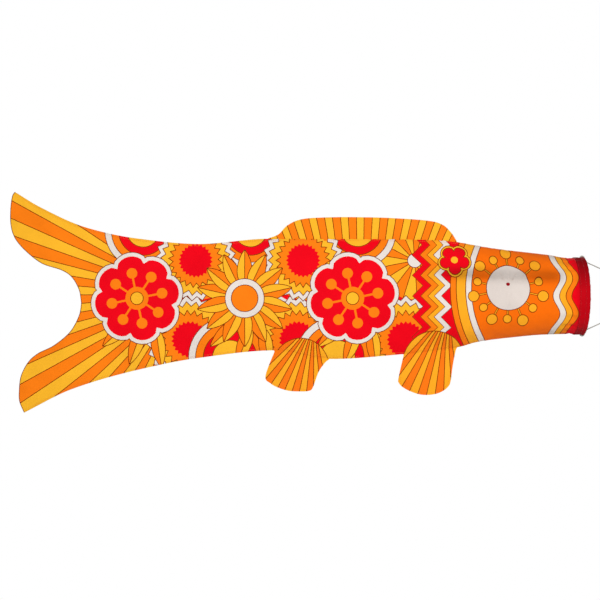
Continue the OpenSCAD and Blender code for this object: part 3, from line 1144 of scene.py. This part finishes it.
def fin_outline(points, foot):
    """The fin's curved edge, closed along the seam a little way inside the body."""
    along = np.linspace(points[-1][0] - 4, points[0][0] + 4, 24)
    return np.vstack((spline_through(points, 6), np.column_stack((along, foot(along)))))


def fin_grid(outline):
    low, high = outline.min(axis=0), outline.max(axis=0)
    rows = []
    for i, z in enumerate(np.arange(low[1], high[1], GRID * 0.8)):
        for s in np.arange(low[0] + (0 if i % 2 else GRID / 2), high[0], GRID):
            rows.append((s, z))
    return rows


def fin_points(points, side, out, root, tip, seed):
    """Points of a fin's ply in metres. The fin ripples towards its free edge."""
    s, z = points.T
    free = np.clip((z - root) / (tip - root), 0, 1)
    ripple = free * (1.6 * waves(seed, s, z, 70) + 0.5 * waves(FINE, s, z, 26))
    ripple += 0.25 * waves(SMALL, s, z, 14)
    puff = 0.5 * np.sin(math.pi * np.clip(free, 0, 1))
    return place(np.column_stack((s, side * (out + puff) + ripple, z)))


def back_fin_art():
    """Even stripes that lean outward from the middle of the fin."""
    art = Print([(150, 60), (600, 60), (600, 200), (150, 200)], ORANGE)
    pitch, width, base, middle_s, lean = 25, 11, 98.9, 388, 0.17

    def leaning(s, z):
        return s + (z - base) * math.tan(math.radians(lean * (s - middle_s))), z

    for i in range(-9, 9):
        left = middle_s + i * pitch - width / 2
        right = left + width
        art.outlined([leaning(left, 60), leaning(left, 150), leaning(right, 150),
                      leaning(right, 60)], AMBER)
    return art


def fan_fin_art(fan):
    art = Print([(150, -250), (600, -250), (600, 0), (150, 0)], HEAD_AMBER)
    fan.draw(art, [(100, -80), (100, -300), (700, -300), (700, -80)])
    return art


# For each fin: its free edge, its foot inside the body, its print, and the z of its root and tip
FINS = {
    "back_fin": (BACK_FIN, lambda s: back(s) - 3, back_fin_art(), 100, 138),
    "front_fin": (FRONT_FIN, lambda s: belly(s) + 3, fan_fin_art(FRONT_FAN), -100, -173),
    "rear_fin": (REAR_FIN, lambda s: belly(s) + 3, fan_fin_art(REAR_FAN), -105, -167),
}

for seed, (fin, (edge, foot, art, root, tip)) in enumerate(FINS.items()):
    outline = fin_outline(edge, foot)
    flat, corners, colors = triangulate(art, outline, [], lambda p: p, fin_grid(outline))
    cloth_uv = flat * MM
    # the fins only have dust along the seam at their foot, and no painted shade
    shade_and_dust = SEAM_DUST * bell(flat[:, 1] - foot(flat[:, 0]), 3)
    swell = smooth_noise(30 + seed, 5)
    row = spline_through(edge, 6)
    inward = outline.mean(axis=0) - row
    row = row + inward / np.linalg.norm(inward, axis=1)[:, None] * SEAM_INSET
    down = math.copysign(1, tip - root)
    middle_s = (edge[0][0] + edge[-1][0]) / 2
    seam = float(foot(middle_s)) + 3 * down
    for side_name, side in SIDES.items():
        outer, inner = (fin_points(flat, side, out, root, tip, swell)
                        for out in (FIN_LIE, FIN_LIE - CLOTH_T))
        on = fin_points(row, side, FIN_LIE, root, tip, swell)
        outs = np.tile((0.0, float(side), 0.0), (len(on), 1))
        piece = build_cloth(f"{fin}_cloth_{side_name}", corners, colors, outer, inner, cloth_uv,
                            shade_and_dust, side, [(on, outs)])
        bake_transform(piece)
        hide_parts(f"{fin}_{side_name}")


# ---------- mouth casing ----------

ROLL_R = 2.5
CASING_RINGS = 720


def casing_section(turn):
    """Profile of the casing at an angle round the hoop: rows of (s, radius), as a closed loop."""
    gather = gathers(turn)
    hem = 1.25 + 0.12 * gather
    rows = [(CASING_REACH, hem - 0.75), (CASING_REACH + 0.15, hem), (CASING_REACH - 1, hem + 0.35)]
    rows += [(s, 1.5 + 0.26 * gather * bell(s - 12, 8)) for s in (13, 11, 9, 7.4, 6.6)]
    rows += [(5.8, 0.95), (5.0, 1.1), (4.2, 1.6)]
    for angle in np.radians(np.linspace(48, 312, 15)):
        swell = ROLL_R + 0.14 * gather * math.sin(angle / 2) + 0.1 * math.sin(53 * turn)
        rows.append((swell * math.cos(angle), swell * math.sin(angle)))
    rows += [(4.2, -1.0), (5.8, -0.5), (9, -0.6), (CASING_REACH - 1, -0.7), (CASING_REACH, -0.4),
             (CASING_REACH, 0.1)]
    return [(s, HOOP_R + height) for s, height in rows]


def casing_shaded_color(turn):
    """The casing's colour at an angle round the hoop, with painted shade: darker towards the top,
    and darker near the bottom.
    """
    height = math.sin(turn)
    # painted shade: the upper part darkens more the higher it is, and a band at the bottom is
    # darker
    kept = 1 - 0.6 * max(height - 0.15, 0) / 0.85 - 0.35 * bell(height + 1, 0.2)
    return [kept * c for c in CASING_RED]


def build_casing():
    turns = np.linspace(0, 2 * math.pi, CASING_RINGS + 1)
    profiles = [casing_section(t) for t in turns[:-1]]
    size = len(profiles[0])
    points = list(place([(s, radius * math.cos(t), radius * math.sin(t))
                         for t, profile in zip(turns, profiles) for s, radius in profile]))
    cloth_points = len(points)
    faces = [(a, d, c, b) for a, b, c, d in tube_faces(CASING_RINGS, size, closed=True)]
    cloth_faces = len(faces)
    outs = np.column_stack((np.zeros(len(turns)), np.cos(turns), np.sin(turns)))
    seams = [(place((s, 0, 0) + (HOOP_R + lift) * outs), outs)
             for s, lift in ((5.3, 1.0), (14.2, 1.6))]
    add_stitches(points, faces, seams, pitch=3.0, length=2.2)
    obj = make_object("mouth_casing_cloth", points, faces, [casing_cloth, casing_thread],
                      cloth_faces)
    at_corner = corner_points(obj)
    lengths = run_along([*profiles[0], profiles[0][0]])
    uv = []
    for one, two in zip(HOOP_R * turns, HOOP_R * turns[1:]):
        for low, high in zip(lengths, lengths[1:]):
            uv += [(one, low), (two, low), (two, high), (one, high)]
    uv += [(0, 0)] * (len(at_corner) - len(uv))
    set_cloth_uv(obj, np.array(uv) * MM)
    shaded_tones = np.tile(CASING_RED, (len(points), 1))
    # the casing's cloth takes the colour with painted shade, and its stitches plain casing red
    shaded_tones[:cloth_points] = np.repeat([casing_shaded_color(t) for t in turns[:-1]], size, axis=0)
    set_colors(obj, shaded_tones[at_corner])
    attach(obj, "head")
    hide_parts("mouth_casing")


build_casing()


# ---------- carried-over CAD nodes ----------

for node, material in (("hang_eye", steel), ("swivel_barrel", brass), ("swivel_rear_eye", steel),
                       ("mouth_hoop", wire), ("hoop_joiner", wire)):
    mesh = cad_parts[node].data
    mesh.materials.clear()
    mesh.materials.append(material)


# ---------- floor and light ----------

FLOOR_Z = -1.35
FLOOR_R = 1.55
FILL_LIGHT = 0.2

bpy.ops.mesh.primitive_circle_add(vertices=128, radius=FLOOR_R, fill_type="NGON",
                                  location=(VIEW_X, 0, FLOOR_Z))
floor = bpy.context.object
floor.name = "floor"
paper = Nodes("floor_paper")
speckle = paper.noise(paper.object_coords(), 40, detail=3)
tone = paper.mixed(speckle, (0.93, 0.93, 0.93), (0.97, 0.97, 0.97))
floor.data.materials.append(paper.shaded(Base_Color=tone, Roughness=0.9))

# the camera sees white behind the fish, and a weaker white lights it from all round
world = bpy.data.worlds.new("studio")
world.use_nodes = True
sky = world.node_tree
seen = sky.nodes["Background"]
fill = sky.nodes.new("ShaderNodeBackground")
for background, strength in ((seen, 1.0), (fill, FILL_LIGHT)):
    background.inputs["Color"].default_value = (1, 1, 1, 1)
    background.inputs["Strength"].default_value = strength
choose = sky.nodes.new("ShaderNodeMixShader")
sky.links.new(sky.nodes.new("ShaderNodeLightPath").outputs["Is Camera Ray"], choose.inputs["Fac"])
sky.links.new(fill.outputs["Background"], choose.inputs[1])
sky.links.new(seen.outputs["Background"], choose.inputs[2])
sky.links.new(choose.outputs["Shader"], sky.nodes["World Output"].inputs["Surface"])
bpy.context.scene.world = world


def softbox(name, spot, size, power):
    """A square soft light that faces the middle of the fish."""
    data = bpy.data.lights.new(name, "AREA")
    data.size = size
    data.energy = power
    light = bpy.data.objects.new(name, data)
    light.location = spot
    toward = Vector((VIEW_X, 0, 0)) - Vector(spot)
    light.rotation_euler = toward.to_track_quat("-Z", "Y").to_euler()
    bpy.context.scene.collection.objects.link(light)


softbox("front_light", (-0.4, -2.65, 0.65), 0.7, 65)
softbox("rear_light", (-0.9, 2.65, 0.65), 0.7, 65)
softbox("top_light", (-0.7, 0.2, 2.4), 1.4, 7)
bpy.context.scene.view_settings.view_transform = "Standard"
